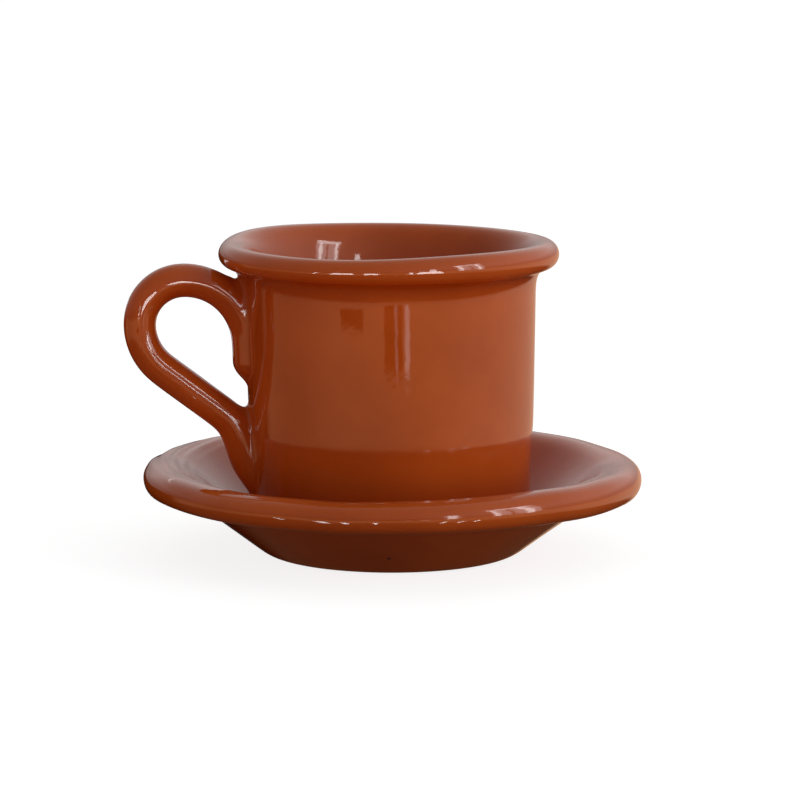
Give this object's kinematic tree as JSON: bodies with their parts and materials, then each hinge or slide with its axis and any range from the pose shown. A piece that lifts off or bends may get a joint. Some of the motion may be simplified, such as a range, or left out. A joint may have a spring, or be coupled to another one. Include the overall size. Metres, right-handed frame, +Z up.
{
  "type": "espresso cup and saucer",
  "caption": "Small glazed earthenware coffee cup with a rolled rim and a looped rod handle, standing on a round dished saucer that it lifts off.",
  "frame": {"origin": "centre of the saucer's flat base, on the table", "axes": "+Z up through the cup, -X along the handle, +Y to the back when the handle is on the left"},
  "size_m": [0.1098, 0.106, 0.0666],
  "materials": {
    "glazed_clay": "clear gloss glaze over red-brown earthenware"
  },
  "bodies": {
    "saucer": {"saucer": "glazed_clay"},
    "cup": {"cup_body": "glazed_clay", "handle": "glazed_clay"}
  },
  "joints": [
    {"name": "cup_lift", "type": "slide", "parent": "saucer", "child": "cup", "axis": [0, 0, 1], "range_m": [0, 0.08]}
  ]
}
